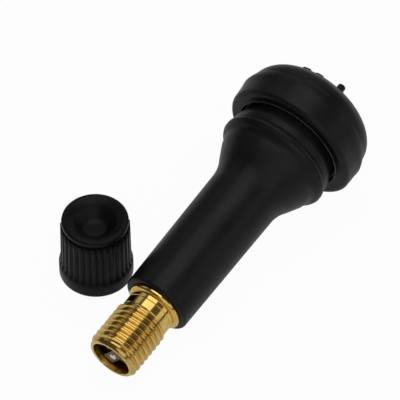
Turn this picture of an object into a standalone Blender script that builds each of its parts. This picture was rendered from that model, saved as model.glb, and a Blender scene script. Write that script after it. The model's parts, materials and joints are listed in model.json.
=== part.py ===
"""Snap-in tyre valve lying on its side, with its cap taken off and standing beside it.

The rubber body is moulded round a turned brass stem. The valve core screws into the stem's mouth:
a plug with a milled bridge turns on the thread and carries a barrel on a swivel, the barrel's gasket
closes on a cone in the bore, and a sprung pin holds a cup and its seal against the barrel's end.

Every turned piece is drawn along its own +Z, with Z = 0 at the mouth and +Z towards the rubber bulb.
An empty then lays that axis down along world +X. Lengths are in metres.
"""

import math

import bmesh
import bpy
from mathutils import Matrix, Vector

MM = 0.001

# Running and seating clearances
BOND_GAP = 0.05 * MM
THREAD_GAP = 0.06 * MM
SWIVEL_GAP = 0.06 * MM
SEAT_GAP = 0.05 * MM
PIN_GAP = 0.12 * MM

# Both threads: depth and crest as shares of the pitch
THREAD_DEPTH_SHARE = 0.46
THREAD_CREST_SHARE = 0.125

# Brass stem, outside
CAP_THREAD_RADIUS = 3.85 * MM
CAP_THREAD_PITCH = 0.93 * MM
CAP_THREAD_LENGTH = 7.55 * MM
MOUTH_RADIUS = 3.30 * MM
MOUTH_CHAMFER = 0.10 * MM
THREAD_LEAD_IN = 0.55 * MM
PLAIN_RADIUS = 3.52 * MM
SCORE_WIDTH = 0.14 * MM
SCORE_DEPTH = 0.08 * MM
SCORE_FROM_FLANGE = 1.15 * MM
FLANGE_RADIUS = 4.15 * MM
FLANGE_THICKNESS = 0.22 * MM
FLANGE_FILLET = 0.50 * MM
FLANGE_STATION = 10.10 * MM

# Brass stem, the length held in the rubber
SHANK_RADIUS = 3.30 * MM
SHANK_END = 36.00 * MM
GRIP_GROOVE_DEPTH = 0.45 * MM
GRIP_GROOVE_WIDTH = 1.20 * MM
GRIP_GROOVE_PITCH = 7.00 * MM
GRIP_GROOVES = 2
END_COLLAR_RADIUS = 4.00 * MM
END_COLLAR_LENGTH = 2.00 * MM

# Bore of the stem
MOUTH_BORE_RADIUS = 2.98 * MM
MOUTH_BORE_DEPTH = 0.70 * MM
CORE_THREAD_RADIUS = 2.60 * MM
CORE_THREAD_PITCH = 0.706 * MM
CORE_THREAD_END = 5.20 * MM
THREAD_RELIEF_LENGTH = 0.80 * MM
SEAT_START = 8.10 * MM
SEAT_END = 9.90 * MM
AIR_BORE_RADIUS = 1.80 * MM

# Valve core: plug
PLUG_TOP = 0.55 * MM
BRIDGE_WIDTH = 1.60 * MM
BRIDGE_HEIGHT = 1.30 * MM
BRIDGE_RADIUS = 2.15 * MM
BRIDGE_TURN = math.radians(35)
PLUG_THREAD_START = 2.10 * MM
PLUG_THREAD_LENGTH = 2.35 * MM
PLUG_SKIRT_RADIUS = 2.05 * MM
PLUG_AIR_RADIUS = 1.30 * MM
POCKET_START = 3.30 * MM
POCKET_LENGTH = 0.90 * MM
LIP_LENGTH = 0.60 * MM

# Valve core: barrel, gasket and seal
BARREL_HEAD_RADIUS = 1.56 * MM
BARREL_NECK_RADIUS = 1.16 * MM
BARREL_COLLAR_RADIUS = 1.95 * MM
BARREL_COLLAR_LENGTH = 2.60 * MM
GASKET_LENGTH = 1.90 * MM
GASKET_CORE_RADIUS = 1.34 * MM
BARREL_TAIL_RADIUS = 1.50 * MM
BARREL_END = 13.40 * MM
SPRING_CHAMBER_RADIUS = 1.04 * MM
CHAMBER_END_WALL = 1.10 * MM
CUP_RADIUS = 1.50 * MM
CUP_WALL = 0.14 * MM
CUP_BASE = 0.60 * MM
SEAL_THICKNESS = 0.70 * MM
SEAL_PROUD = 0.30 * MM

# Valve core: pin and spring
PIN_TIP = 0.28 * MM
PIN_RADIUS = 0.50 * MM
PIN_EAR_SPAN = 1.84 * MM
PIN_EAR_THICKNESS = 0.60 * MM
PIN_EAR_LENGTH = 0.60 * MM
RIVET_RADIUS = 0.76 * MM
RIVET_LENGTH = 0.26 * MM
WIRE_RADIUS = 0.11 * MM
SPRING_TURNS = 6.0
SPRING_CLOSED_TURNS = 1.0

# Rubber body
SLEEVE_RADIUS = 4.98 * MM
SLEEVE_TAPER = 0.28 * MM
SLEEVE_EDGE = 0.45 * MM
FLARE_START = 31.60 * MM
FLARE_FILLET = 5.00 * MM
FLARE_ANGLE = math.radians(34)
COLLAR_STATION = 39.00 * MM
COLLAR_RADIUS = 8.45 * MM
COLLAR_ROUND = 1.15 * MM
COLLAR_PROUD = 0.35 * MM
NECK_TAPER = 0.50 * MM
BULB_START = 42.50 * MM
RECESS_WIDTH = 0.50 * MM
RECESS_DEPTH = 0.90 * MM
BULB_LIP_ROUND = 0.45 * MM
SKIRT_RADIUS = 9.85 * MM
BULB_RADIUS = 9.93 * MM
BAND_LENGTH = 1.50 * MM
SEAM_STATION = 47.30 * MM
SEAM_STEP = 0.14 * MM
DOME_HEIGHT = 4.85 * MM
DOME_FULLNESS = 2.15
AIR_HOLE_RADIUS = 1.60 * MM
AIR_HOLE_LEAD = 0.50 * MM
NIB_RADIUS = 0.50 * MM
NIB_HEIGHT = 1.05 * MM
NIB_OFFSET = 6.20 * MM
NIB_TURN = math.radians(208)

# Plastic cap
CAP_HEIGHT = 10.90 * MM
CAP_FOOT_RADIUS = 5.25 * MM
CAP_FOOT_HEIGHT = 1.90 * MM
CAP_FLARE = 1.10 * MM
CAP_RIB_RADIUS = 4.95 * MM
CAP_TOP_RADIUS = 4.68 * MM
CAP_EDGE = 0.35 * MM
RIM_BAND = 0.85 * MM
RIM_GROOVE_WIDTH = 0.40 * MM
RIB_COUNT = 32
RIB_DEPTH = 0.26 * MM
RIB_GROOVE_WIDTH = 0.42 * MM
DISH_RADIUS = 4.15 * MM
DISH_SLOPE = 0.55 * MM
POCKET_TOP_RADIUS = 3.05 * MM
POCKET_FLOOR_RADIUS = 2.30 * MM
POCKET_DEPTH = 2.10 * MM
CAP_ROOF = 1.10 * MM
CAP_BORE_CLEARANCE = 0.12 * MM
CAP_MOUTH_LEAD = 0.45 * MM
CAP_ALONG = 14.05 * MM
CAP_ASIDE = 13.08 * MM

# Facets
BODY_STEPS = 32
STEM_STEPS = 26
THREAD_STEPS = 24
CORE_STEPS = 18
CAP_STEPS = 48
RIDGE_OVERLAP = 0.06 * MM


def clear_scene():
    """Empty the scene that the script starts in."""
    for found in list(bpy.data.objects):
        bpy.data.objects.remove(found, do_unlink=True)


def new_collection(name):
    """Add a collection to the scene."""
    made = bpy.data.collections.new(name)
    bpy.context.scene.collection.children.link(made)
    return made


def finish(name, colour, roughness, metallic):
    """A plain material of one colour."""
    made = bpy.data.materials.new(name)
    made.use_nodes = True
    shader = made.node_tree.nodes["Principled BSDF"]
    shader.inputs["Base Color"].default_value = (*colour, 1.0)
    shader.inputs["Roughness"].default_value = roughness
    shader.inputs["Metallic"].default_value = metallic
    return made


def place(name, data, collection, parent, material=None):
    """Add an object made from a mesh or a curve, on its parent's axis."""
    made = bpy.data.objects.new(name, data)
    collection.objects.link(made)
    made.parent = parent
    if material:
        data.materials.append(material)
    return made


def arc(centre_r, centre_z, radius, start, end, points):
    """Points (r, z) on a round corner, with angles in degrees from +r towards +z."""
    made = []
    for i in range(points + 1):
        angle = math.radians(start + (end - start) * i / points)
        made.append((centre_r + radius * math.cos(angle), centre_z + radius * math.sin(angle)))
    return made


def turned(name, outline, steps, collection, parent, material=None):
    """A turned piece. Its outline (r, z) runs down the outer side and back up the inner one.

    A piece with a hole is a closed outline; one that meets the axis starts and ends on it.
    """
    mesh = bpy.data.meshes.new(name)
    bm = bmesh.new()
    verts = [bm.verts.new((r, 0.0, z)) for r, z in outline]
    for first, second in zip(verts, verts[1:]):
        bm.edges.new((first, second))
    on_axis = outline[0][0] == 0.0 and outline[-1][0] == 0.0
    if not on_axis:
        bm.edges.new((verts[-1], verts[0]))
    bm.to_mesh(mesh)
    bm.free()
    made = place(name, mesh, collection, parent, material)
    screw = made.modifiers.new("turn", "SCREW")
    screw.axis = "Z"
    screw.angle = math.tau
    screw.steps = screw.render_steps = steps
    screw.use_merge_vertices = True
    screw.merge_threshold = 0.001 * MM
    screw.use_smooth_shade = True
    return made


def helical_ridge(name, root, crest, pitch, widening, start, end, steps, collection, parent):
    """A 60 degree thread ridge wound round Z, sunk a little into the root that it stands on."""
    foot = root - RIDGE_OVERLAP
    half_crest = pitch * THREAD_CREST_SHARE / 2 + widening
    half_foot = half_crest + (crest - foot) * math.tan(math.radians(30))
    bm = bmesh.new()
    corners = ((foot, -half_foot), (crest, -half_crest), (crest, half_crest), (foot, half_foot))
    verts = [bm.verts.new((r, 0.0, start + z)) for r, z in corners]
    bm.faces.new(verts)
    between_facets = Matrix.Rotation(math.pi / steps, 3, "Z")
    bmesh.ops.rotate(bm, cent=(0, 0, 0), matrix=between_facets, verts=bm.verts)
    count = math.ceil((end - start) / pitch * steps)
    bmesh.ops.spin(
        bm, geom=bm.verts[:] + bm.edges[:] + bm.faces[:], cent=(0, 0, 0), axis=(0, 0, 1),
        dvec=(0, 0, pitch / steps), angle=math.tau * count / steps, steps=count,
    )
    bmesh.ops.recalc_face_normals(bm, faces=bm.faces[:])
    mesh = bpy.data.meshes.new(name)
    bm.to_mesh(mesh)
    bm.free()
    return as_cutter(place(name, mesh, collection, parent))


def as_cutter(made):
    """Mark a guide that only shapes other pieces."""
    made.hide_render = True
    made.display_type = "WIRE"
    return made


def boolean(made, operation, other):
    """Cut, join or trim a piece with another solid."""
    step = made.modifiers.new(operation.lower(), "BOOLEAN")
    step.operation = operation
    step.solver = "EXACT"
    step.object = other


def block(name, size, location, turn, collection, parent):
    """A box cutter, turned about Z."""
    bm = bmesh.new()
    bmesh.ops.create_cube(bm, size=1.0)
    bmesh.ops.scale(bm, vec=size, verts=bm.verts)
    bmesh.ops.translate(bm, vec=location, verts=bm.verts)
    bmesh.ops.rotate(bm, cent=(0, 0, 0), matrix=Matrix.Rotation(turn, 3, "Z"), verts=bm.verts)
    mesh = bpy.data.meshes.new(name)
    bm.to_mesh(mesh)
    bm.free()
    return as_cutter(place(name, mesh, collection, parent))


def thread_root(crest, pitch):
    """The radius at the root of a thread."""
    return crest - pitch * THREAD_DEPTH_SHARE


def thread_envelope(name, root, crest, start, end, lead, steps, collection, parent):
    """The turned limit of a thread: its ridge rises from the root and sinks back into it.

    It stands a quarter of a facet round, so that none of its edges lies on one of the piece's.
    """
    sunk = root - 0.03 * MM
    clear = crest + 0.05 * MM
    outline = [
        (0.0, end), (sunk, end), (clear, end - lead), (clear, start + lead), (sunk, start), (0.0, start),
    ]
    limit = as_cutter(turned(name, outline, steps, collection, parent))
    limit.rotation_euler.z = math.tau / steps / 4
    return limit


# Brass stem

def shank_outline(gap):
    """The stem's length inside the rubber, (r, z) from the bulb's side to the flange, grown by gap."""
    collar_start = SHANK_END - END_COLLAR_LENGTH
    points = [
        (END_COLLAR_RADIUS + gap, SHANK_END + gap),
        (END_COLLAR_RADIUS + gap, collar_start - gap),
        (SHANK_RADIUS + gap, collar_start - gap),
    ]
    for i in range(GRIP_GROOVES):
        middle = collar_start - (i + 1) * GRIP_GROOVE_PITCH
        bottom = SHANK_RADIUS - GRIP_GROOVE_DEPTH + gap
        half = GRIP_GROOVE_WIDTH / 2 - gap
        points += [
            (SHANK_RADIUS + gap, middle + half), (bottom, middle + half),
            (bottom, middle - half), (SHANK_RADIUS + gap, middle - half),
        ]
    return points


def seat_radius(station):
    """The bore's radius on the conical seat."""
    bore = thread_root(CORE_THREAD_RADIUS, CORE_THREAD_PITCH) + THREAD_GAP
    along = (station - SEAT_START) / (SEAT_END - SEAT_START)
    return bore + (AIR_BORE_RADIUS - bore) * min(max(along, 0.0), 1.0)


def make_stem(parts, cutters, axis, brass):
    """Turned brass stem: cap thread, score line, flared flange, gripped shank and stepped bore."""
    root = thread_root(CAP_THREAD_RADIUS, CAP_THREAD_PITCH)
    flange_back = FLANGE_STATION + FLANGE_THICKNESS
    flare_radius = FLANGE_RADIUS - PLAIN_RADIUS
    score = FLANGE_STATION - SCORE_FROM_FLANGE
    thread_end = CAP_THREAD_LENGTH
    bore = seat_radius(SEAT_START)
    groove = CORE_THREAD_RADIUS + THREAD_GAP
    outline = [(AIR_BORE_RADIUS, SHANK_END)]
    outline += shank_outline(0.0)
    outline += [(SHANK_RADIUS, flange_back), (FLANGE_RADIUS, flange_back)]
    outline += [
        (FLANGE_RADIUS - flare_radius * (1 - math.cos(a)), FLANGE_STATION - FLANGE_FILLET * math.sin(a))
        for a in (math.radians(d) for d in (0, 30, 60, 90))
    ]
    outline += [
        (PLAIN_RADIUS, score + SCORE_WIDTH / 2), (PLAIN_RADIUS - SCORE_DEPTH, score),
        (PLAIN_RADIUS, score - SCORE_WIDTH / 2), (PLAIN_RADIUS, thread_end + MOUTH_CHAMFER),
        (root, thread_end), (root, MOUTH_CHAMFER), (MOUTH_RADIUS, 0.0),
        (MOUTH_BORE_RADIUS, 0.0), (MOUTH_BORE_RADIUS - 0.1 * MM, MOUTH_BORE_DEPTH),
        (bore, MOUTH_BORE_DEPTH + MOUTH_BORE_RADIUS - bore),
        (bore, CORE_THREAD_END), (groove + 0.04 * MM, CORE_THREAD_END + 0.04 * MM),
        (groove + 0.04 * MM, CORE_THREAD_END + THREAD_RELIEF_LENGTH), (bore, SEAT_START - 0.2 * MM),
        (bore, SEAT_START), (AIR_BORE_RADIUS, SEAT_END),
    ]
    stem = turned("stem", outline, STEM_STEPS, parts, axis, brass)
    ridge = helical_ridge(
        "cap_thread_ridge", root, CAP_THREAD_RADIUS, CAP_THREAD_PITCH, 0.0, -CAP_THREAD_PITCH,
        thread_end + CAP_THREAD_PITCH, THREAD_STEPS, cutters, axis,
    )
    limit = thread_envelope(
        "cap_thread_limit", root, CAP_THREAD_RADIUS, MOUTH_CHAMFER + 0.02 * MM, thread_end,
        THREAD_LEAD_IN, STEM_STEPS, cutters, axis,
    )
    boolean(ridge, "INTERSECT", limit)
    boolean(stem, "UNION", ridge)
    tap = helical_ridge(
        "core_tap", bore, groove, CORE_THREAD_PITCH, THREAD_GAP, CORE_THREAD_PITCH * 0.25,
        CORE_THREAD_END + 0.4 * MM, CORE_STEPS, cutters, axis,
    )
    boolean(stem, "DIFFERENCE", tap)
    return stem


# Valve core

def make_plug(parts, cutters, axis, brass):
    """Core plug: threaded, with a bridge milled across its head and a swivel pocket below."""
    root = thread_root(CORE_THREAD_RADIUS, CORE_THREAD_PITCH)
    pocket_end = POCKET_START + POCKET_LENGTH
    skirt_end = pocket_end + LIP_LENGTH
    thread_end = PLUG_THREAD_START + PLUG_THREAD_LENGTH
    pocket = BARREL_HEAD_RADIUS + SWIVEL_GAP
    lip = BARREL_NECK_RADIUS + SWIVEL_GAP
    pin_hole = PIN_RADIUS + PIN_GAP
    bridge_end = PLUG_TOP + BRIDGE_HEIGHT
    outline = [
        (lip, skirt_end), (PLUG_SKIRT_RADIUS, skirt_end), (PLUG_SKIRT_RADIUS, thread_end + 0.1 * MM),
        (root, thread_end), (root, PLUG_THREAD_START), (BRIDGE_RADIUS, PLUG_THREAD_START - 0.1 * MM),
        (BRIDGE_RADIUS, PLUG_TOP + 0.15 * MM), (BRIDGE_RADIUS - 0.15 * MM, PLUG_TOP), (pin_hole, PLUG_TOP),
        (pin_hole, bridge_end), (PLUG_AIR_RADIUS, bridge_end), (PLUG_AIR_RADIUS, POCKET_START),
        (pocket, POCKET_START), (pocket, pocket_end), (lip, pocket_end),
    ]
    plug = turned("core_plug", outline, CORE_STEPS, parts, axis, brass)
    first_turn = CORE_THREAD_PITCH * (0.25 + math.floor(PLUG_THREAD_START / CORE_THREAD_PITCH) - 1)
    ridge = helical_ridge(
        "plug_thread_ridge", root, CORE_THREAD_RADIUS, CORE_THREAD_PITCH, 0.0, first_turn,
        thread_end + CORE_THREAD_PITCH, CORE_STEPS, cutters, axis,
    )
    limit = thread_envelope(
        "plug_thread_limit", root, CORE_THREAD_RADIUS, PLUG_THREAD_START + 0.02 * MM,
        thread_end - 0.02 * MM, 0.3 * MM, CORE_STEPS, cutters, axis,
    )
    boolean(ridge, "INTERSECT", limit)
    boolean(plug, "UNION", ridge)
    reach = 2 * BRIDGE_RADIUS
    for side in (-1, 1):
        flat = block(
            "bridge_flat_low" if side < 0 else "bridge_flat_high",
            (2 * reach, reach, 2 * BRIDGE_HEIGHT),
            (0.0, side * (BRIDGE_WIDTH + reach) / 2, bridge_end - BRIDGE_HEIGHT + 0.1 * MM),
            BRIDGE_TURN, cutters, axis,
        )
        boolean(plug, "DIFFERENCE", flat)
    return plug


def gasket_start():
    """Station where the barrel's collar ends and the gasket begins."""
    return POCKET_START + POCKET_LENGTH + LIP_LENGTH + SWIVEL_GAP + BARREL_COLLAR_LENGTH


def make_barrel(parts, axis, brass):
    """Swivelling barrel: head in the plug's pocket, gasket groove, spring chamber and tail."""
    head_start = POCKET_START + SWIVEL_GAP
    head_end = POCKET_START + POCKET_LENGTH - SWIVEL_GAP
    collar_start = POCKET_START + POCKET_LENGTH + LIP_LENGTH + SWIVEL_GAP
    gasket_end = gasket_start() + GASKET_LENGTH + 2 * SEAT_GAP
    hole = PIN_RADIUS + PIN_GAP
    outline = [
        (hole, BARREL_END), (BARREL_TAIL_RADIUS, BARREL_END), (BARREL_TAIL_RADIUS, gasket_end),
        (GASKET_CORE_RADIUS, gasket_end), (GASKET_CORE_RADIUS, gasket_start()),
        (BARREL_COLLAR_RADIUS, gasket_start()), (BARREL_COLLAR_RADIUS, collar_start),
        (BARREL_NECK_RADIUS, collar_start), (BARREL_NECK_RADIUS, head_end),
        (BARREL_HEAD_RADIUS, head_end), (BARREL_HEAD_RADIUS, head_start), (hole, head_start),
        (hole, collar_start), (SPRING_CHAMBER_RADIUS, collar_start),
        (SPRING_CHAMBER_RADIUS, BARREL_END - CHAMBER_END_WALL), (hole, BARREL_END - CHAMBER_END_WALL),
    ]
    return turned("core_barrel", outline, CORE_STEPS, parts, axis, brass)


def make_gasket(parts, axis, material):
    """Barrel gasket: a ring whose outside follows the conical seat."""
    start = gasket_start() + SEAT_GAP
    end = start + GASKET_LENGTH
    inner = GASKET_CORE_RADIUS + SEAT_GAP
    outline = [
        (inner, end), (seat_radius(end) - SEAT_GAP, end),
        (seat_radius(SEAT_START) - SEAT_GAP, SEAT_START), (seat_radius(start) - SEAT_GAP, start),
        (inner, start),
    ]
    return turned("barrel_gasket", outline, CORE_STEPS, parts, axis, material)


def seal_start():
    """Station of the seal's face, which closes on the barrel's end."""
    return BARREL_END + SEAT_GAP


def cup_floor():
    """Station of the cup's inner floor, under the seal."""
    return seal_start() + SEAL_THICKNESS + SEAT_GAP


def make_pin(parts, cutters, axis, steel):
    """Core pin: rounded tip, flattened ears that take the spring and a rivet head at the cup."""
    head_start = cup_floor() + CUP_BASE + SEAT_GAP
    outline = [
        (0.0, head_start + RIVET_LENGTH), (RIVET_RADIUS - 0.1 * MM, head_start + RIVET_LENGTH),
        (RIVET_RADIUS, head_start + RIVET_LENGTH - 0.1 * MM), (RIVET_RADIUS, head_start),
        (PIN_RADIUS, head_start),
    ]
    outline += [
        (PIN_RADIUS * math.cos(a), PIN_TIP + PIN_RADIUS * 0.45 * (1 - math.sin(a)))
        for a in (math.radians(d) for d in (0, 30, 55, 75))
    ]
    outline.append((0.0, PIN_TIP))
    pin = turned("core_pin", outline, CORE_STEPS, parts, axis, steel)
    ears = block(
        "pin_ears", (PIN_EAR_SPAN, PIN_EAR_THICKNESS, PIN_EAR_LENGTH),
        (0.0, 0.0, spring_top() - PIN_EAR_LENGTH / 2), 0.0, cutters, axis,
    )
    boolean(pin, "UNION", ears)
    return pin


def spring_top():
    """Station of the pin's ears, where the spring bears."""
    chamber_start = POCKET_START + POCKET_LENGTH + LIP_LENGTH + SWIVEL_GAP
    return chamber_start + SWIVEL_GAP + PIN_EAR_LENGTH + SEAT_GAP


def make_spring(parts, axis, steel):
    """Coil spring between the pin's ears and the chamber's end wall, with a closed turn at each end."""
    top = spring_top() + SEAT_GAP + WIRE_RADIUS
    bottom = BARREL_END - CHAMBER_END_WALL - SEAT_GAP - WIRE_RADIUS
    radius = SPRING_CHAMBER_RADIUS - SWIVEL_GAP - WIRE_RADIUS - 0.03 * MM
    closed_pitch = 2.2 * WIRE_RADIUS
    per_turn = 10
    open_turns = SPRING_TURNS - 2 * SPRING_CLOSED_TURNS
    open_pitch = (bottom - top - 2 * SPRING_CLOSED_TURNS * closed_pitch) / open_turns
    curve = bpy.data.curves.new("core_spring", "CURVE")
    curve.dimensions = "3D"
    curve.bevel_depth = WIRE_RADIUS
    curve.bevel_resolution = 1
    curve.use_fill_caps = True
    spline = curve.splines.new("POLY")
    count = round(SPRING_TURNS * per_turn)
    spline.points.add(count)
    for i, point in enumerate(spline.points):
        turn = i / per_turn
        low = min(turn, SPRING_CLOSED_TURNS)
        high = max(turn - (SPRING_TURNS - SPRING_CLOSED_TURNS), 0.0)
        z = top + (low + high) * closed_pitch + (turn - low - high) * open_pitch
        angle = turn * math.tau
        point.co = (radius * math.cos(angle), radius * math.sin(angle), z, 1.0)
    return place("core_spring", curve, parts, axis, steel)


def make_cup(parts, axis, brass):
    """Cup that carries the seal on the pin's end."""
    floor = cup_floor()
    base = floor + CUP_BASE
    hole = PIN_RADIUS + SEAT_GAP
    inner = CUP_RADIUS - CUP_WALL
    brim = seal_start() + SEAL_PROUD
    outline = [
        (hole, base), (CUP_RADIUS - 0.2 * MM, base), (CUP_RADIUS, base - 0.2 * MM),
        (CUP_RADIUS, brim), (inner, brim), (inner, floor), (hole, floor),
    ]
    return turned("pin_cup", outline, CORE_STEPS, parts, axis, brass)


def make_seal(parts, axis, material):
    """Seal ring that stands a little proud of its cup."""
    start = seal_start()
    outer = CUP_RADIUS - CUP_WALL - SEAT_GAP
    inner = PIN_RADIUS + SEAT_GAP
    outline = [
        (inner, start + SEAL_THICKNESS), (outer, start + SEAL_THICKNESS),
        (outer, start + 0.1 * MM), (outer - 0.1 * MM, start), (inner, start),
    ]
    return turned("cup_seal", outline, CORE_STEPS, parts, axis, material)


# Rubber body

def dome_point(angle):
    """A point (r, z) on the bulb's dome, from the seam at 0 to its end at 90 degrees."""
    power = 2 / DOME_FULLNESS
    radius = (BULB_RADIUS - SEAM_STEP) * math.cos(angle) ** power
    return radius, SEAM_STATION + DOME_HEIGHT * math.sin(angle) ** power


def bulb_outline():
    """The bulb from its end down to its lip, (r, z)."""
    points = []
    lead = AIR_HOLE_RADIUS + AIR_HOLE_LEAD
    for degrees in range(80, -1, -10):
        r, z = dome_point(math.radians(degrees))
        if r > lead:
            points.append((r, z))
    band_end = SEAM_STATION - BAND_LENGTH
    points += [(BULB_RADIUS, SEAM_STATION - SEAM_STEP), (BULB_RADIUS, band_end)]
    points.append((SKIRT_RADIUS, band_end - SEAM_STEP))
    points += arc(
        SKIRT_RADIUS - BULB_LIP_ROUND, BULB_START + BULB_LIP_ROUND, BULB_LIP_ROUND, 0, -90, 3,
    )
    return points


def recess_outline():
    """The narrow recess between the bulb's lip and the top of the neck, (r, z)."""
    neck = COLLAR_RADIUS - COLLAR_PROUD - NECK_TAPER
    top = BULB_START + RECESS_DEPTH
    return [(neck + RECESS_WIDTH, BULB_START), (neck + RECESS_WIDTH / 2, top), (neck, top)]


def flare_outline():
    """The collar from the foot of the neck, and the flare from it down to the sleeve, (r, z)."""
    sleeve = SLEEVE_RADIUS + SLEEVE_TAPER
    slope = math.degrees(FLARE_ANGLE)
    foot = math.degrees(math.acos(1 - COLLAR_PROUD / COLLAR_ROUND))
    points = arc(COLLAR_RADIUS - COLLAR_ROUND, COLLAR_STATION, COLLAR_ROUND, foot, -35, 4)
    bend = arc(sleeve + FLARE_FILLET, FLARE_START, FLARE_FILLET, 180 - slope, 180, 4)
    bend_r, bend_z = bend[0]
    collar_r, collar_z = points[-1]
    shoulder_r = collar_r - 0.25 * MM
    rise = (shoulder_r - bend_r) / math.tan(FLARE_ANGLE)
    points.append((shoulder_r, min(collar_z - 0.1 * MM, bend_z + rise)))
    return points + bend


def make_rubber_body(parts, cutters, axis, rubber):
    """Rubber body: bulb with its recessed lip, neck, collar, flare and tapered sleeve."""
    face = FLANGE_STATION + FLANGE_THICKNESS + BOND_GAP
    lead_z = dome_point(math.radians(80))[1] + 0.05 * MM
    outline = [(AIR_HOLE_RADIUS, lead_z - AIR_HOLE_LEAD), (AIR_HOLE_RADIUS + AIR_HOLE_LEAD, lead_z)]
    outline += bulb_outline() + recess_outline() + flare_outline()
    outline += arc(SLEEVE_RADIUS - SLEEVE_EDGE, face + SLEEVE_EDGE, SLEEVE_EDGE, 0, -90, 2)
    outline += [(SHANK_RADIUS + BOND_GAP, face)]
    outline += reversed(shank_outline(BOND_GAP))
    outline += [(AIR_HOLE_RADIUS, SHANK_END + BOND_GAP)]
    body = turned("rubber_body", outline, BODY_STEPS, parts, axis, rubber)
    boolean(body, "UNION", make_nib(cutters, axis))
    return body


def make_nib(cutters, axis):
    """The short moulding nib on the bulb's dome."""
    angle = math.acos((NIB_OFFSET / (BULB_RADIUS - SEAM_STEP)) ** (DOME_FULLNESS / 2))
    base = dome_point(angle)[1] - NIB_RADIUS
    top = base + NIB_RADIUS + NIB_HEIGHT
    outline = [(0.0, top), (NIB_RADIUS * 0.7, top), (NIB_RADIUS, top - NIB_RADIUS * 0.35), (NIB_RADIUS, base)]
    outline.append((0.0, base))
    nib = turned("nib_guide", outline, 12, cutters, axis)
    nib.location = (NIB_OFFSET * math.cos(NIB_TURN), NIB_OFFSET * math.sin(NIB_TURN), 0.0)
    return as_cutter(nib)


# Plastic cap

def make_cap(parts, cutters, stand, plastic):
    """Moulded cap standing on its open rim: ribs, flared foot, dished top and plain bore."""
    bore = CAP_THREAD_RADIUS + CAP_BORE_CLEARANCE
    pocket_floor = CAP_HEIGHT - POCKET_DEPTH
    groove_top = CAP_HEIGHT - RIM_BAND
    groove_low = groove_top - RIM_GROOVE_WIDTH
    groove_radius = CAP_TOP_RADIUS - RIB_DEPTH
    roof = pocket_floor - CAP_ROOF
    outline = [(0.0, pocket_floor), (POCKET_FLOOR_RADIUS, pocket_floor)]
    outline += [(POCKET_TOP_RADIUS, CAP_HEIGHT - DISH_SLOPE), (DISH_RADIUS, CAP_HEIGHT)]
    outline += arc(CAP_TOP_RADIUS - CAP_EDGE, CAP_HEIGHT - CAP_EDGE, CAP_EDGE, 80, 0, 2)
    outline += [
        (CAP_TOP_RADIUS, groove_top), (groove_radius, groove_top - 0.1 * MM), (groove_radius, groove_low),
        (CAP_TOP_RADIUS + 0.05 * MM, groove_low - 0.12 * MM), (CAP_RIB_RADIUS, CAP_FOOT_HEIGHT + CAP_FLARE),
        (CAP_FOOT_RADIUS, CAP_FOOT_HEIGHT), (CAP_FOOT_RADIUS, 0.2 * MM), (CAP_FOOT_RADIUS - 0.2 * MM, 0.0),
        (bore + CAP_MOUTH_LEAD, 0.0), (bore, CAP_MOUTH_LEAD), (bore, roof), (0.0, roof),
    ]
    cap = turned("cap", outline, CAP_STEPS, parts, stand, plastic)
    boolean(cap, "DIFFERENCE", make_rib_cutter(groove_low, cutters, stand))
    return cap


def make_rib_cutter(top, cutters, stand):
    """The gaps between the cap's ribs, one blade for each, leaning with the cap's taper."""
    low = CAP_FOOT_HEIGHT + CAP_FLARE * 0.35
    high = top + RIM_GROOVE_WIDTH / 2
    reach = 2.0 * MM
    bm = bmesh.new()
    for i in range(RIB_COUNT):
        blade = bmesh.ops.create_cube(bm, size=1.0)["verts"]
        bmesh.ops.scale(bm, vec=(reach, RIB_GROOVE_WIDTH, high - low), verts=blade)
        for vert in blade:
            inner = vert.co.x < 0
            upper = vert.co.z > 0
            surface = CAP_TOP_RADIUS if upper else CAP_RIB_RADIUS
            vert.co.x = surface - RIB_DEPTH if inner else surface + reach
            vert.co.z = high if upper else low
            if inner:
                vert.co.y *= 0.7
                vert.co.z += 0.25 * MM if not upper else 0.0
        turn = Matrix.Rotation(math.tau * (i + 0.5) / RIB_COUNT, 3, "Z")
        bmesh.ops.rotate(bm, cent=(0, 0, 0), matrix=turn, verts=blade)
    mesh = bpy.data.meshes.new("rib_gaps")
    bm.to_mesh(mesh)
    bm.free()
    return as_cutter(place("rib_gaps", mesh, cutters, stand))


# Lying at rest

def rest_tilt():
    """How far the axis rises from the cap thread's first crest to the bulb that it leans on."""
    crest_z = MOUTH_CHAMFER + THREAD_LEAD_IN
    return max(math.atan2(r - CAP_THREAD_RADIUS, z - crest_z) for r, z in bulb_outline())


def stand_on_floor(frame, parts):
    """Move the frame until the middle of the model's box stands over the origin."""
    bpy.context.view_layer.update()
    depsgraph = bpy.context.evaluated_depsgraph_get()
    points = []
    for made in parts.objects:
        seen = made.evaluated_get(depsgraph)
        mesh = seen.to_mesh()
        points += [seen.matrix_world @ vert.co for vert in mesh.vertices]
        seen.to_mesh_clear()
    low = Vector([min(point[i] for point in points) for i in range(3)])
    high = Vector([max(point[i] for point in points) for i in range(3)])
    frame.location = (-(low.x + high.x) / 2, -(low.y + high.y) / 2, -low.z)


def add_empty(name, collection, parent=None):
    """An empty that carries pieces."""
    made = bpy.data.objects.new(name, None)
    made.empty_display_size = 5 * MM
    collection.objects.link(made)
    made.parent = parent
    return made


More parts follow.
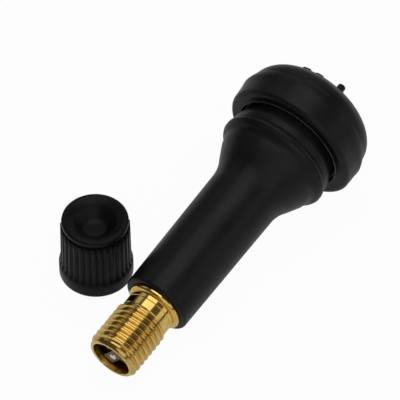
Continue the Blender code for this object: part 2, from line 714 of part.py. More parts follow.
def main():
    """Build the valve, its core and its cap, and lay them down."""
    clear_scene()
    parts = new_collection("tyre_valve")
    guides = new_collection("placing")
    cutters = new_collection("cutters")
    rubber = finish("black_rubber", (0.013, 0.013, 0.014), 0.55, 0.0)
    plastic = finish("black_plastic", (0.012, 0.012, 0.013), 0.45, 0.0)
    brass = finish("turned_brass", (0.78, 0.52, 0.16), 0.22, 1.0)
    steel = finish("bright_steel", (0.62, 0.61, 0.60), 0.22, 1.0)
    seal_rubber = finish("seal_rubber", (0.02, 0.02, 0.02), 0.6, 0.0)
    gasket_ring = finish("gasket_ring", (0.35, 0.04, 0.03), 0.4, 0.0)

    frame = add_empty("frame", guides)
    axis = add_empty("valve_axis", guides, frame)
    tilt = rest_tilt()
    crest_z = MOUTH_CHAMFER + THREAD_LEAD_IN
    axis.rotation_euler = (0.0, math.pi / 2 - tilt, 0.0)
    lift = CAP_THREAD_RADIUS * math.cos(tilt) - crest_z * math.sin(tilt)
    axis.location = (0.0, 0.0, lift)
    core = add_empty("core_axis", guides, axis)
    stand = add_empty("cap_stand", guides, frame)
    stand.location = (CAP_ALONG, CAP_ASIDE, 0.0)

    make_stem(parts, cutters, axis, brass)
    make_rubber_body(parts, cutters, axis, rubber)
    make_plug(parts, cutters, core, brass)
    make_barrel(parts, core, brass)
    make_gasket(parts, core, gasket_ring)
    make_pin(parts, cutters, core, steel)
    make_spring(parts, core, steel)
    make_cup(parts, core, brass)
    make_seal(parts, core, seal_rubber)
    make_cap(parts, cutters, stand, plastic)
    stand_on_floor(frame, parts)


main()
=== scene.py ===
"""Looks of the snap-in tyre valve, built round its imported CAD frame.

Every class holds the sizes of one sub-assembly in millimetres, drawn along its own +Z: from the
stem's mouth towards the rubber bulb, or from the cap's foot upwards. A Placement lays a finished
mesh down in the frame, in metres, so each piece's object stays at the origin.
"""

import json
import logging
import math
from dataclasses import dataclass, field
from enum import Enum
from typing import Sequence

import bmesh
import bpy
from mathutils import Matrix, Vector

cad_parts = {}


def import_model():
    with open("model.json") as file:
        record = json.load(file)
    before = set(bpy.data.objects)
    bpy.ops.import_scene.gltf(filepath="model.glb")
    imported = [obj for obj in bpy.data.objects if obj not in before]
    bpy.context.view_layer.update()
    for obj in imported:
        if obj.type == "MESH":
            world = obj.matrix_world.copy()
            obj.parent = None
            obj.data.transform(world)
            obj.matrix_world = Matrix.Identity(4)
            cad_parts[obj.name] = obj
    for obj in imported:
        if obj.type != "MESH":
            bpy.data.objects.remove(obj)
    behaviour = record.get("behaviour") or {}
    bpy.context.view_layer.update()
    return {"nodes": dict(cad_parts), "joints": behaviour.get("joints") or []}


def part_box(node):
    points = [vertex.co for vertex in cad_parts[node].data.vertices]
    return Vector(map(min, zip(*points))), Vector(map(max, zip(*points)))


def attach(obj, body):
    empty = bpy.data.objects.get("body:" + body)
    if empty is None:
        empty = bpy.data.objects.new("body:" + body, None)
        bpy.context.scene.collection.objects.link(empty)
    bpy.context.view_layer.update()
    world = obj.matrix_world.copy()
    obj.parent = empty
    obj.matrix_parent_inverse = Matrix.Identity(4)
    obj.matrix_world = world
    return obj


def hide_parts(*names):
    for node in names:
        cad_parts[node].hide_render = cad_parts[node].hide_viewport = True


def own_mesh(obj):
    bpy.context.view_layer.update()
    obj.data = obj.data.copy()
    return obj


log = logging.getLogger("tyre_valve")

MM = 0.001
WELD = 0.0005
Outline = list[tuple[float, float]]
Colour = tuple[float, float, float]


class ThreadSide(Enum):
    """Which way a thread's ridges stand out of their root."""

    OUTSIDE = 1
    INSIDE = -1


@dataclass(frozen=True)
class Placement:
    """Where a piece's own axis lies in the frame."""

    origin: Vector
    along: Vector

    def matrix(self) -> Matrix:
        """Return the transform from the piece's millimetres to the frame's metres."""
        across = Vector((0.0, 1.0, 0.0))
        down = across.cross(self.along)
        turn = Matrix((down, across, self.along)).transposed().to_4x4()
        return Matrix.Translation(self.origin) @ turn @ Matrix.Scale(MM, 4)


def valve_placement(joints: Sequence[dict]) -> Placement:
    """Find the valve's axis from the joint that the core's plug turns on.

    Args:
        joints: the frame's joints.

    Returns:
        The placement of the stem's mouth, with +Z towards the bulb.
    """
    turn = next(joint for joint in joints if joint["name"] == "plug_turn")
    return Placement(Vector(turn["pos_m"]), -Vector(turn["axis"]).normalized())


def cap_placement() -> Placement:
    """Return the placement of the cap, which stands on its foot."""
    low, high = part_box("cap")
    middle = (low + high) / 2
    return Placement(Vector((middle.x, middle.y, low.z)), Vector((0.0, 0.0, 1.0)))


def arc(centre: tuple[float, float], radius: float, start: float, end: float, count: int) -> Outline:
    """Points of a round corner.

    Args:
        centre: the corner's centre, (r, z).
        radius: its radius.
        start: angle of the first point, in degrees from +r towards +z.
        end: angle of the last point.
        count: number of steps.

    Returns:
        The points, (r, z).
    """
    angles = [math.radians(start + (end - start) * i / count) for i in range(count + 1)]
    return [(centre[0] + radius * math.cos(a), centre[1] + radius * math.sin(a)) for a in angles]


def lathe(bm: bmesh.types.BMesh, outline: Outline, steps: int, closed: bool) -> None:
    """Spin an outline a full turn round Z.

    Args:
        bm: the mesh that the surface is added to.
        outline: the points, (r, z).
        steps: facets round the turn.
        closed: whether the last point joins the first.
    """
    verts = [bm.verts.new((r, 0.0, z)) for r, z in outline]
    pairs = list(zip(verts, verts[1:])) + ([(verts[-1], verts[0])] if closed else [])
    edges = [bm.edges.new(pair) for pair in pairs]
    bmesh.ops.spin(
        bm, geom=verts + edges, cent=(0, 0, 0), axis=(0, 0, 1), dvec=(0, 0, 0),
        angle=math.tau, steps=steps, use_merge=True,
    )
    bmesh.ops.remove_doubles(bm, verts=bm.verts[:], dist=WELD)


def ring_edges(bm: bmesh.types.BMesh, station: float) -> list[bmesh.types.BMEdge]:
    """Return the open edges that lie at one station along the axis."""
    return [
        edge for edge in bm.edges
        if edge.is_boundary and all(abs(vert.co.z - station) < WELD for vert in edge.verts)
    ]


def extrude_rings(
    bm: bmesh.types.BMesh, loop: list[bmesh.types.BMEdge], outline: Outline
) -> list[bmesh.types.BMEdge]:
    """Draw a round opening on through further rings.

    Args:
        bm: the mesh that holds the opening.
        loop: the opening's edges.
        outline: radius and station of each new ring.

    Returns:
        The edges of the last ring.
    """
    for radius, station in outline:
        made = bmesh.ops.extrude_edge_only(bm, edges=loop)["geom"]
        verts = {item for item in made if isinstance(item, bmesh.types.BMVert)}
        for vert in verts:
            flat = vert.co.xy.normalized() * radius
            vert.co = (flat.x, flat.y, station)
        loop = [
            item for item in made
            if isinstance(item, bmesh.types.BMEdge) and all(vert in verts for vert in item.verts)
        ]
    return loop


@dataclass(frozen=True)
class Thread:
    """One helical thread, from its first station to its last.

    Its root is eased over a share of the flat between two ridges, up to a share of the depth.
    """

    root: float
    crest: float
    pitch: float
    start: float
    end: float
    lead: float
    steps: int = 120
    crest_share: float = 0.125
    flank_slope: float = math.tan(math.radians(30))
    ease_share: float = 0.15
    foot_share: float = 0.08

    @property
    def side(self) -> ThreadSide:
        """Whether the ridges stand outwards or inwards."""
        return ThreadSide.OUTSIDE if self.crest > self.root else ThreadSide.INSIDE

    def limit(self, station: float) -> float:
        """Return how far from the axis the ridge may reach at a station, with its lead-in."""
        share = min((station - self.start) / self.lead, (self.end - station) / self.lead, 1.0)
        return self.root + (self.crest - self.root) * max(share, 0.0)

    def add_to(self, bm: bmesh.types.BMesh) -> None:
        """Add the thread's surface, cut flat at both ends.

        Args:
            bm: the mesh that gets it.
        """
        fresh = bmesh.new()
        flank = abs(self.crest - self.root) * self.flank_slope
        crest = self.pitch * self.crest_share
        flat = self.pitch - 2 * flank - crest
        first = self.start - self.pitch
        ease = flat * self.ease_share
        foot = self.root + (self.crest - self.root) * self.foot_share
        rows = [
            (foot, 0.0), (self.root, ease), (self.root, flat - ease), (foot, flat),
            (self.crest, flat + flank), (self.crest, flat + flank + crest), (foot, self.pitch),
        ]
        verts = [fresh.verts.new((r, 0.0, first + z)) for r, z in rows]
        edges = [fresh.edges.new(pair) for pair in zip(verts, verts[1:])]
        turns = math.ceil((self.end - self.start) / self.pitch) + 2
        bmesh.ops.spin(
            fresh, geom=verts + edges, cent=(0, 0, 0), axis=(0, 0, 1),
            dvec=(0, 0, self.pitch / self.steps), angle=math.tau * turns,
            steps=self.steps * turns, use_merge=False,
        )
        bmesh.ops.remove_doubles(fresh, verts=fresh.verts[:], dist=WELD)
        self.trim(fresh)
        made = bpy.data.meshes.new("thread")
        fresh.to_mesh(made)
        fresh.free()
        bm.from_mesh(made)
        bpy.data.meshes.remove(made)

    def trim(self, bm: bmesh.types.BMesh) -> None:
        """Sink the ridge into its root at both ends and cut the surface off there."""
        for vert in bm.verts:
            reach = vert.co.xy.length
            allowed = self.limit(vert.co.z)
            kept = min(reach, allowed) if self.side is ThreadSide.OUTSIDE else max(reach, allowed)
            vert.co.xy = vert.co.xy * (kept / reach)
        for station, direction in ((self.start, 1), (self.end, -1)):
            bmesh.ops.bisect_plane(
                bm, geom=bm.verts[:] + bm.edges[:] + bm.faces[:], dist=WELD / 5,
                plane_co=(0, 0, station), plane_no=(0, 0, direction), clear_inner=True,
            )
            for vert in bm.verts:
                if abs(vert.co.z - station) < WELD:
                    vert.co.xy = vert.co.xy.normalized() * self.root
                    vert.co.z = station
        bmesh.ops.remove_doubles(bm, verts=bm.verts[:], dist=WELD)


def finish_mesh(
    name: str, bm: bmesh.types.BMesh, place: Placement, sharp: float, material: bpy.types.Material
) -> bpy.types.Object:
    """Turn a bmesh into a piece that lies in the frame.

    Args:
        name: the piece's name.
        bm: its mesh, in its own millimetres; it is freed.
        place: where the piece lies.
        sharp: edges that bend by more degrees than this stay sharp.
        material: the piece's finish.

    Returns:
        The new object.
    """
    bmesh.ops.recalc_face_normals(bm, faces=bm.faces[:])
    mesh = bpy.data.meshes.new(name)
    bm.to_mesh(mesh)
    bm.free()
    mesh.transform(place.matrix())
    mesh.polygons.foreach_set("use_smooth", [True] * len(mesh.polygons))
    mesh.set_sharp_from_angle(angle=math.radians(sharp))
    mesh.materials.append(material)
    made = bpy.data.objects.new(name, mesh)
    bpy.context.scene.collection.objects.link(made)
    return made


def ride_and_replace(piece: bpy.types.Object, body: str, node: str) -> None:
    """Let a piece move with a CAD body and stand for one of its nodes.

    Args:
        piece: the new piece.
        body: the CAD body's name.
        node: the CAD node that it stands for.
    """
    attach(piece, body)
    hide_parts(node)
    log.info("%s: %d faces", piece.name, len(piece.data.polygons))


class NodeTree:
    """A short way to add and link the nodes of one material."""

    def __init__(self, name: str) -> None:
        """Start a material that holds only its output and shader."""
        self.material = bpy.data.materials.new(name)
        self.material.use_nodes = True
        self.tree = self.material.node_tree
        self.shader = self.tree.nodes["Principled BSDF"]

    def add(self, kind: str, **settings: object) -> bpy.types.Node:
        """Add a node.

        Args:
            kind: the node's type, without its ShaderNode prefix.
            settings: attributes of the node, or values of its inputs.

        Returns:
            The new node.
        """
        node = self.tree.nodes.new("ShaderNode" + kind)
        for key, value in settings.items():
            if hasattr(node, key):
                setattr(node, key, value)
            else:
                node.inputs[key.replace("_", " ")].default_value = value
        return node

    def link(self, source: bpy.types.NodeSocket, target: bpy.types.NodeSocket) -> None:
        """Join an output to an input."""
        self.tree.links.new(source, target)

    def coordinates(self, place: Placement) -> bpy.types.NodeSocket:
        """Return object coordinates turned back into a piece's own millimetres."""
        source = self.add("TexCoord")
        turn = self.add("Mapping", vector_type="TEXTURE")
        turn.inputs["Location"].default_value = place.origin
        turn.inputs["Rotation"].default_value = place.matrix().to_euler()
        turn.inputs["Scale"].default_value = (MM, MM, MM)
        self.link(source.outputs["Object"], turn.inputs["Vector"])
        return turn.outputs["Vector"]

    def noise(
        self, where: bpy.types.NodeSocket, scale: float, detail: float, stretch: Colour = (1, 1, 1)
    ) -> bpy.types.NodeSocket:
        """Return soft noise from 0 to 1.

        Args:
            where: the coordinates.
            scale: waves to the millimetre.
            detail: octaves.
            stretch: factor of the coordinates along each axis.
        """
        turn = self.add("Mapping")
        turn.inputs["Scale"].default_value = stretch
        self.link(where, turn.inputs["Vector"])
        made = self.add("TexNoise", Scale=scale, Detail=detail)
        self.link(turn.outputs["Vector"], made.inputs["Vector"])
        return made.outputs["Fac"]

    def ramp(
        self, value: bpy.types.NodeSocket, stops: Sequence[tuple[float, Colour]]
    ) -> bpy.types.NodeSocket:
        """Return a colour looked up from a value.

        Args:
            value: the value, from 0 to 1.
            stops: place and colour of each stop.
        """
        made = self.add("ValToRGB")
        elements = made.color_ramp.elements
        while len(elements) < len(stops):
            elements.new(0.5)
        for element, (position, colour) in zip(elements, stops):
            element.position = position
            element.color = (*colour, 1.0)
        self.link(value, made.inputs["Fac"])
        return made.outputs["Color"]

    def span(self, value: bpy.types.NodeSocket, low: float, high: float) -> bpy.types.NodeSocket:
        """Return a value from 0 to 1 stretched to another range."""
        made = self.add("MapRange")
        made.inputs["To Min"].default_value = low
        made.inputs["To Max"].default_value = high
        self.link(value, made.inputs["Value"])
        return made.outputs["Result"]

    def mix(
        self, share: bpy.types.NodeSocket, first: bpy.types.NodeSocket, second: Colour
    ) -> bpy.types.NodeSocket:
        """Return a colour mixed with a plain one by a share."""
        made = self.add("Mix", data_type="RGBA")
        self.link(share, made.inputs["Factor"])
        self.link(first, made.inputs["A"])
        made.inputs["B"].default_value = (*second, 1.0)
        return made.outputs["Result"]

    def bump(self, height: bpy.types.NodeSocket, distance: float, strength: float) -> None:
        """Raise the surface by a height, chained onto any bump before it.

        Args:
            height: the height, from 0 to 1.
            distance: the height's full size, in metres.
            strength: share of it that shows.
        """
        made = self.add("Bump", Distance=distance, Strength=strength)
        self.link(height, made.inputs["Height"])
        normal = self.shader.inputs["Normal"]
        if normal.is_linked:
            self.link(normal.links[0].from_socket, made.inputs["Normal"])
        self.link(made.outputs["Normal"], normal)


@dataclass(frozen=True)
class Moulding:
    """A moulded finish, rubber or plastic. Clouds, smears, dents and grain are in waves to the millimetre."""

    name: str
    dark: Colour
    light: Colour
    roughness: tuple[float, float]
    gloss: float
    grain: float
    grain_height: float
    # Painted highlight: the pale colour mixed in where a mesh marks it, broken into dashes by noise.
    painted_highlight: Colour = (0.10, 0.10, 0.10)
    painted_highlight_waves: float = 0.8
    painted_highlight_cover: tuple[float, float] = (-0.9, 2.2)
    cloud_waves: float = 0.22
    smear_waves: float = 0.55
    dent_waves: float = 0.45
    dent_height: float = 0.07 * MM

    def material(self, place: Placement) -> bpy.types.Material:
        """Build the finish: clouded, finely grained, with a painted highlight, a paler colour in dashes,
        where a mesh marks it.

        Args:
            place: the axis that the clouds stretch along.

        Returns:
            The material.
        """
        made = NodeTree(self.name)
        made.shader.inputs["Specular IOR Level"].default_value = self.gloss
        where = made.coordinates(place)
        clouds = made.noise(where, self.cloud_waves, 3.0, (1.0, 1.0, 0.45))
        colour = made.ramp(clouds, ((0.35, self.dark), (0.68, self.light)))
        # Painted highlight: a pale colour in dashes where the mesh marks the lip's flash line.
        painted_light_and_shade = made.add("Attribute", attribute_name="painted_light_and_shade")
        patches = made.span(made.noise(where, self.painted_highlight_waves, 3.0), *self.painted_highlight_cover)
        painted_highlight_share = made.add("Math", operation="MULTIPLY", use_clamp=True)
        made.link(painted_light_and_shade.outputs["Fac"], painted_highlight_share.inputs[0])
        made.link(patches, painted_highlight_share.inputs[1])
        made.link(made.mix(painted_highlight_share.outputs[0], colour, self.painted_highlight), made.shader.inputs["Base Color"])
        smears = made.noise(where, self.smear_waves, 2.0, (1.0, 1.0, 0.35))
        made.link(made.span(smears, *self.roughness), made.shader.inputs["Roughness"])
        made.bump(made.noise(where, self.grain, 3.0), self.grain_height, 0.5)
        made.bump(made.noise(where, self.dent_waves, 2.0, (1.0, 1.0, 0.6)), self.dent_height, 0.5)
        return made.material


@dataclass(frozen=True)
class TurnedMetal:
    """A turned finish, with fine tool marks round the axis; where a mesh marks a groove it is rougher and has
    painted shade, a darker brown colour.
    """

    name: str
    colour: Colour
    tarnish: Colour
    roughness: tuple[float, float]
    # Painted shade: the darker brown mixed in where a mesh marks the bore and the thread's grooves.
    groove: Colour = (0.34, 0.215, 0.060)
    groove_roughness: float = 0.12
    stain_waves: float = 0.6
    marks: float = 9.0
    mark_height: float = 0.0012 * MM

    def material(self, place: Placement) -> bpy.types.Material:
        """Build the finish.

        Args:
            place: the axis that the piece was turned on.

        Returns:
            The material.
        """
        made = NodeTree(self.name)
        made.shader.inputs["Metallic"].default_value = 1.0
        where = made.coordinates(place)
        stain = made.noise(where, self.stain_waves, 4.0, (1.0, 1.0, 0.6))
        colour = made.ramp(stain, ((0.38, self.colour), (0.74, self.tarnish)))
        # Painted shade: the groove colour is mixed in, and the roughness raised, by the mesh's mark on the
        # bore and the thread's grooves.
        marks = made.add("Attribute", attribute_name="painted_light_and_shade")
        made.link(made.mix(marks.outputs["Fac"], colour, self.groove), made.shader.inputs["Base Color"])
        rings = made.noise(where, self.marks, 2.0, (0.02, 0.02, 1.0))
        rough = made.add("Math", operation="MULTIPLY_ADD")
        made.link(marks.outputs["Fac"], rough.inputs[0])
        rough.inputs[1].default_value = self.groove_roughness
        made.link(made.span(rings, *self.roughness), rough.inputs[2])
        made.link(rough.outputs[0], made.shader.inputs["Roughness"])
        made.bump(rings, self.mark_height, 0.6)
        return made.material


@dataclass(frozen=True)
class Finishes:
    """The finishes of the valve and its cap."""

    rubber: Moulding = Moulding(
        "moulded_rubber", dark=(0.0060, 0.0061, 0.0063), light=(0.0105, 0.0106, 0.0110),
        roughness=(0.24, 0.52), gloss=0.16, grain=6.0, grain_height=0.010 * MM,
    )
    plastic: Moulding = Moulding(
        "cap_plastic", dark=(0.0050, 0.0051, 0.0053), light=(0.0080, 0.0081, 0.0084),
        roughness=(0.27, 0.40), gloss=0.115, grain=5.0, grain_height=0.006 * MM,
    )
    brass: TurnedMetal = TurnedMetal(
        "turned_brass", colour=(0.80, 0.565, 0.16), tarnish=(0.62, 0.385, 0.10), roughness=(0.09, 0.16)
    )
    # Painted shade: the core's brass is given a very dark brown colour for the shade it sits in, deep in the
    # stem's bore.
    core_brass_painted_shade: TurnedMetal = TurnedMetal(
        "core_brass_painted_shade", colour=(0.19, 0.095, 0.028), tarnish=(0.08, 0.040, 0.014), roughness=(0.26, 0.38)
    )
    steel: TurnedMetal = TurnedMetal(
        "pin_steel", colour=(0.82, 0.70, 0.65), tarnish=(0.66, 0.53, 0.49), roughness=(0.20, 0.30)
    )
    seal: Moulding = Moulding(
        "seal_rubber", dark=(0.015, 0.015, 0.015), light=(0.028, 0.027, 0.026),
        roughness=(0.50, 0.65), gloss=0.40, grain=6.0, grain_height=0.008 * MM,
    )
    gasket: Moulding = Moulding(
        "gasket_ring", dark=(0.30, 0.035, 0.025), light=(0.40, 0.055, 0.035),
        roughness=(0.36, 0.50), gloss=0.45, grain=6.0, grain_height=0.006 * MM,
    )


@dataclass(frozen=True)
class Boss:
    """A small round boss on the bulb's dome, placed by its distance from the axis and its turn in degrees."""

    radius: float
    height: float
    offset: float
    turn: float
    sunk: float = 0.30

    def outline(self) -> Outline:
        """Return its section, with the foot below the surface."""
        edge = min(self.radius * 0.35, self.height * 0.6)
        return [
            (0.0, self.height), (self.radius - edge, self.height),
            *arc((self.radius - edge, self.height - edge), edge, 70, 0, 3),
            (self.radius + 0.02, 0.12), (self.radius + 0.10, 0.0),
            (self.radius + 0.25, -self.sunk), (0.0, -self.sunk),
        ]


@dataclass(frozen=True)
class Bulge:
    """How far one side of the bulb stands out: its turn and reach in degrees, and (station, height) pairs."""

    turn: float
    reach: float
    heights: tuple[tuple[float, float], ...]

    def amount(self, station: float) -> float:
        """Return the height at a station, in between the given ones."""
        for (low, first), (high, second) in zip(self.heights, self.heights[1:]):
            if low <= station < high:
                return first + (second - first) * (station - low) / (high - low)
        return 0.0


@dataclass
class RubberBody:
    """Rubber moulding: bulb with a recessed lip, neck, collar, flare and tapered sleeve."""

    place: Placement
    steps: int = 192
    face: float = 10.37
    sleeve_radius: float = 4.98
    sleeve_taper: float = 0.28
    sleeve_edge: float = 0.45
    flare_start: float = 31.10
    flare_fillet: float = 6.40
    flare_angle: float = 32.0
    collar_station: float = 39.00
    collar_radius: float = 8.45
    collar_round: float = 1.15
    collar_proud: float = 0.35
    parting_turn: float = -9.0
    parting_depth: float = 0.09
    under_collar: tuple[tuple[float, float], ...] = ((0.20, 0.20), (0.38, 0.48), (0.50, 0.88), (0.62, 1.40))
    neck_taper: float = 0.54
    neck_bend: tuple[tuple[float, float], ...] = ((0.12, 0.50), (0.38, 1.10), (0.60, 1.75))
    bulb_start: float = 42.50
    recess_width: float = 0.54
    recess_depth: float = 0.90
    lip_round: float = 0.80
    lip_sweep: float = 86.0
    lip_flat: float = 0.80
    skirt_radius: float = 9.85
    bulb_radius: float = 9.93
    band_length: float = 1.50
    seam_station: float = 47.30
    seam_step: float = 0.14
    dome_height: float = 4.85
    dome_fullness: float = 2.15
    air_hole: float = 1.60
    air_hole_lead: float = 0.50
    bore: float = 3.35
    bore_end: float = 36.05
    flash_height: float = 0.09
    flash_width: float = 0.10
    nib: Boss = Boss(radius=0.60, height=0.80, offset=6.25, turn=212.0)
    pads: tuple[Boss, ...] = (
        Boss(radius=0.62, height=0.20, offset=7.29, turn=165.8),
        Boss(radius=0.66, height=0.20, offset=6.32, turn=179.9),
    )
    bulges: tuple[Bulge, ...] = (
        Bulge(114.8, 42.0, (
            (42.3, 0.16), (44.4, 0.22), (45.1, 0.36), (46.1, 0.38), (46.7, 0.24), (47.3, 0.10), (47.9, 0.0),
        )),
        Bulge(-65.2, 42.0, (
            (42.3, 0.42), (44.0, 0.47), (46.0, 0.46), (46.6, 0.26), (47.3, 0.06), (47.6, 0.0),
        )),
    )

    @property
    def neck_top(self) -> float:
        """Radius of the neck where it enters the recess."""
        return self.collar_radius - self.collar_proud - self.neck_taper

    def dome_point(self, angle: float) -> tuple[float, float]:
        """Return a point (r, z) of the dome, from the seam at 0 degrees to the pole at 90."""
        power = 2 / self.dome_fullness
        across = math.cos(math.radians(angle)) ** power
        up = math.sin(math.radians(angle)) ** power
        return (self.bulb_radius - self.seam_step) * across, self.seam_station + self.dome_height * up

    def dome_station(self, radius: float) -> float:
        """Return the dome's height at a distance from the axis."""
        share = (radius / (self.bulb_radius - self.seam_step)) ** self.dome_fullness
        return self.seam_station + self.dome_height * (1 - share) ** (1 / self.dome_fullness)

    def bulb(self) -> Outline:
        """Return the bulb's outline, from the air hole to the lip."""
        rim = self.air_hole + self.air_hole_lead
        points = [(self.air_hole, self.dome_station(rim) - self.air_hole_lead)]
        points += arc(
            (rim, self.dome_station(rim) - self.air_hole_lead), self.air_hole_lead, 180, 90, 4,
        )[1:]
        points += [p for p in (self.dome_point(a) for a in range(84, -1, -3)) if p[0] > rim + 0.1]
        wide, seam = self.bulb_radius, self.seam_station
        band_end = seam - self.band_length
        points += [
            (wide - self.seam_step + 0.01, seam - 0.10), (wide - 0.08, seam - 0.30),
            (wide - 0.02, seam - 0.60), (wide, seam - 0.95), (wide, band_end + 0.25),
            (wide - 0.02, band_end - 0.05), (self.skirt_radius, band_end - 0.45),
            (self.skirt_radius, band_end - 1.1), (self.skirt_radius, self.bulb_start + 1.0),
        ]
        lip = (self.skirt_radius - self.lip_round, self.bulb_start + self.lip_round)
        return points + arc(lip, self.lip_round, 0, -self.lip_sweep, 12)

    def recess(self) -> Outline:
        """Return the lip's flash line, the recess behind it and the bend of the neck below."""
        inner, low = self.neck_top + self.recess_width, self.bulb_start
        flash, deep = low - self.flash_height, low + self.recess_depth
        return [
            (inner + self.lip_flat, low + 0.005), (inner + 2 * self.flash_width, low),
            (inner + 1.3 * self.flash_width, flash), (inner + 0.5 * self.flash_width, flash),
            (inner, low + 0.04), (inner - 0.08, deep - 0.2), (inner - 0.2, deep - 0.04),
            (self.neck_top + 0.14, deep - 0.03), (self.neck_top + 0.02, deep - 0.2),
            (self.neck_top, low - 0.05),
            *((self.neck_top + out, low - down) for out, down in self.neck_bend),
        ]

    def parting(self, corner: tuple[float, float]) -> Outline:
        """Return the fine groove that the mould's halves leave round the collar.

        Args:
            corner: centre of the collar's rounding.
        """
        groove = self.collar_round - self.parting_depth
        turn = self.parting_turn
        return [
            *arc(corner, self.collar_round, turn + 3.5, turn + 2.5, 1),
            *arc(corner, groove, turn + 0.8, turn - 0.8, 1),
            *arc(corner, self.collar_round + 0.02, turn - 3.0, turn - 5.0, 1),
        ]

    def waist(self) -> Outline:
        """Return the neck, the collar and the flare down to the sleeve."""
        foot = math.degrees(math.acos(1 - self.collar_proud / self.collar_round))
        corner = (self.collar_radius - self.collar_round, self.collar_station)
        points = arc(corner, self.collar_round, foot + 6, self.parting_turn + 6, 7)
        points += self.parting(corner)
        points += arc(corner, self.collar_round, self.parting_turn - 8, -58, 6)
        under_r, under_z = points[-1]
        points += [(under_r - inward, under_z - down) for inward, down in self.under_collar]
        sleeve = self.sleeve_radius + self.sleeve_taper
        bend = arc(
            (sleeve + self.flare_fillet, self.flare_start), self.flare_fillet,
            180 - self.flare_angle, 180, 12,
        )
        return points + bend

    def outline(self) -> Outline:
        """Return the whole section: bulb, waist, sleeve, and the cavity that the stem fills."""
        edge = (self.sleeve_radius - self.sleeve_edge, self.face + self.sleeve_edge)
        middle = (self.sleeve_radius + self.sleeve_taper / 2, (self.face + self.flare_start) / 2)
        points = self.bulb() + self.recess() + self.waist() + [middle]
        points += arc(edge, self.sleeve_edge, 0, -90, 6)
        points += [(self.bore + 0.15, self.face), (self.bore, self.face + 0.15)]
        points += [(self.bore, self.bore_end), (self.air_hole, self.bore_end)]
        return points

    def add_boss(self, bm: bmesh.types.BMesh, boss: Boss, upright: bool) -> None:
        """Add a boss, with its foot sunk in the dome.

        Args:
            bm: the body's mesh.
            boss: the boss.
            upright: whether it stands along the valve's axis, or square to the dome.
        """
        reach = 0.01
        base = self.dome_station(boss.offset)
        slope = (self.dome_station(boss.offset + reach) - base) / reach
        fresh = bmesh.new()
        lathe(fresh, boss.outline(), 32, False)
        if not upright:
            lean = Matrix.Rotation(-math.atan(slope), 3, "Y")
            bmesh.ops.rotate(fresh, cent=(0, 0, 0), matrix=lean, verts=fresh.verts[:])
        bmesh.ops.translate(fresh, vec=(boss.offset, 0, base), verts=fresh.verts[:])
        turn = Matrix.Rotation(math.radians(boss.turn), 3, "Z")
        bmesh.ops.rotate(fresh, cent=(0, 0, 0), matrix=turn, verts=fresh.verts[:])
        made = bpy.data.meshes.new("boss")
        fresh.to_mesh(made)
        fresh.free()
        bm.from_mesh(made)
        bpy.data.meshes.remove(made)

    def swell(self, bm: bmesh.types.BMesh) -> None:
        """Let the bulb stand out on the two sides where its mould opened.

        Args:
            bm: the body's mesh.
        """
        for vert in bm.verts:
            reach, z = vert.co.xy.length, vert.co.z
            if reach < self.neck_top + 0.9 or z < self.bulb_start - 0.2:
                continue
            turn = math.degrees(math.atan2(vert.co.y, vert.co.x))
            for side in self.bulges:
                away = abs((turn - side.turn + 180) % 360 - 180) / side.reach
                if away < 1:
                    vert.co.xy = vert.co.xy * (1 + side.amount(z) * math.cos(away * math.pi / 2) ** 2 / reach)

    def paint_flash_highlight(self, bm: bmesh.types.BMesh) -> None:
        """Mark the flash line on the lip for a painted highlight, a paler colour.

        Args:
            bm: the body's mesh.
        """
        painted_light_and_shade = bm.verts.layers.float.new("painted_light_and_shade")
        for vert in bm.verts:
            crest = self.bulb_start - self.flash_height
            vert[painted_light_and_shade] = 1.0 if abs(vert.co.z - crest) < WELD else 0.0

    def build(self, finish: Moulding) -> None:
        """Make the rubber body.

        Args:
            finish: its finish.
        """
        bm = bmesh.new()
        lathe(bm, self.outline(), self.steps, True)
        self.swell(bm)
        # The lip's flash line gets a painted highlight.
        self.paint_flash_highlight(bm)
        self.add_boss(bm, self.nib, True)
        for pad in self.pads:
            self.add_boss(bm, pad, False)
        material = finish.material(self.place)
        made = finish_mesh("rubber_moulding", bm, self.place, sharp=38.0, material=material)
        ride_and_replace(made, "valve", "rubber_body")


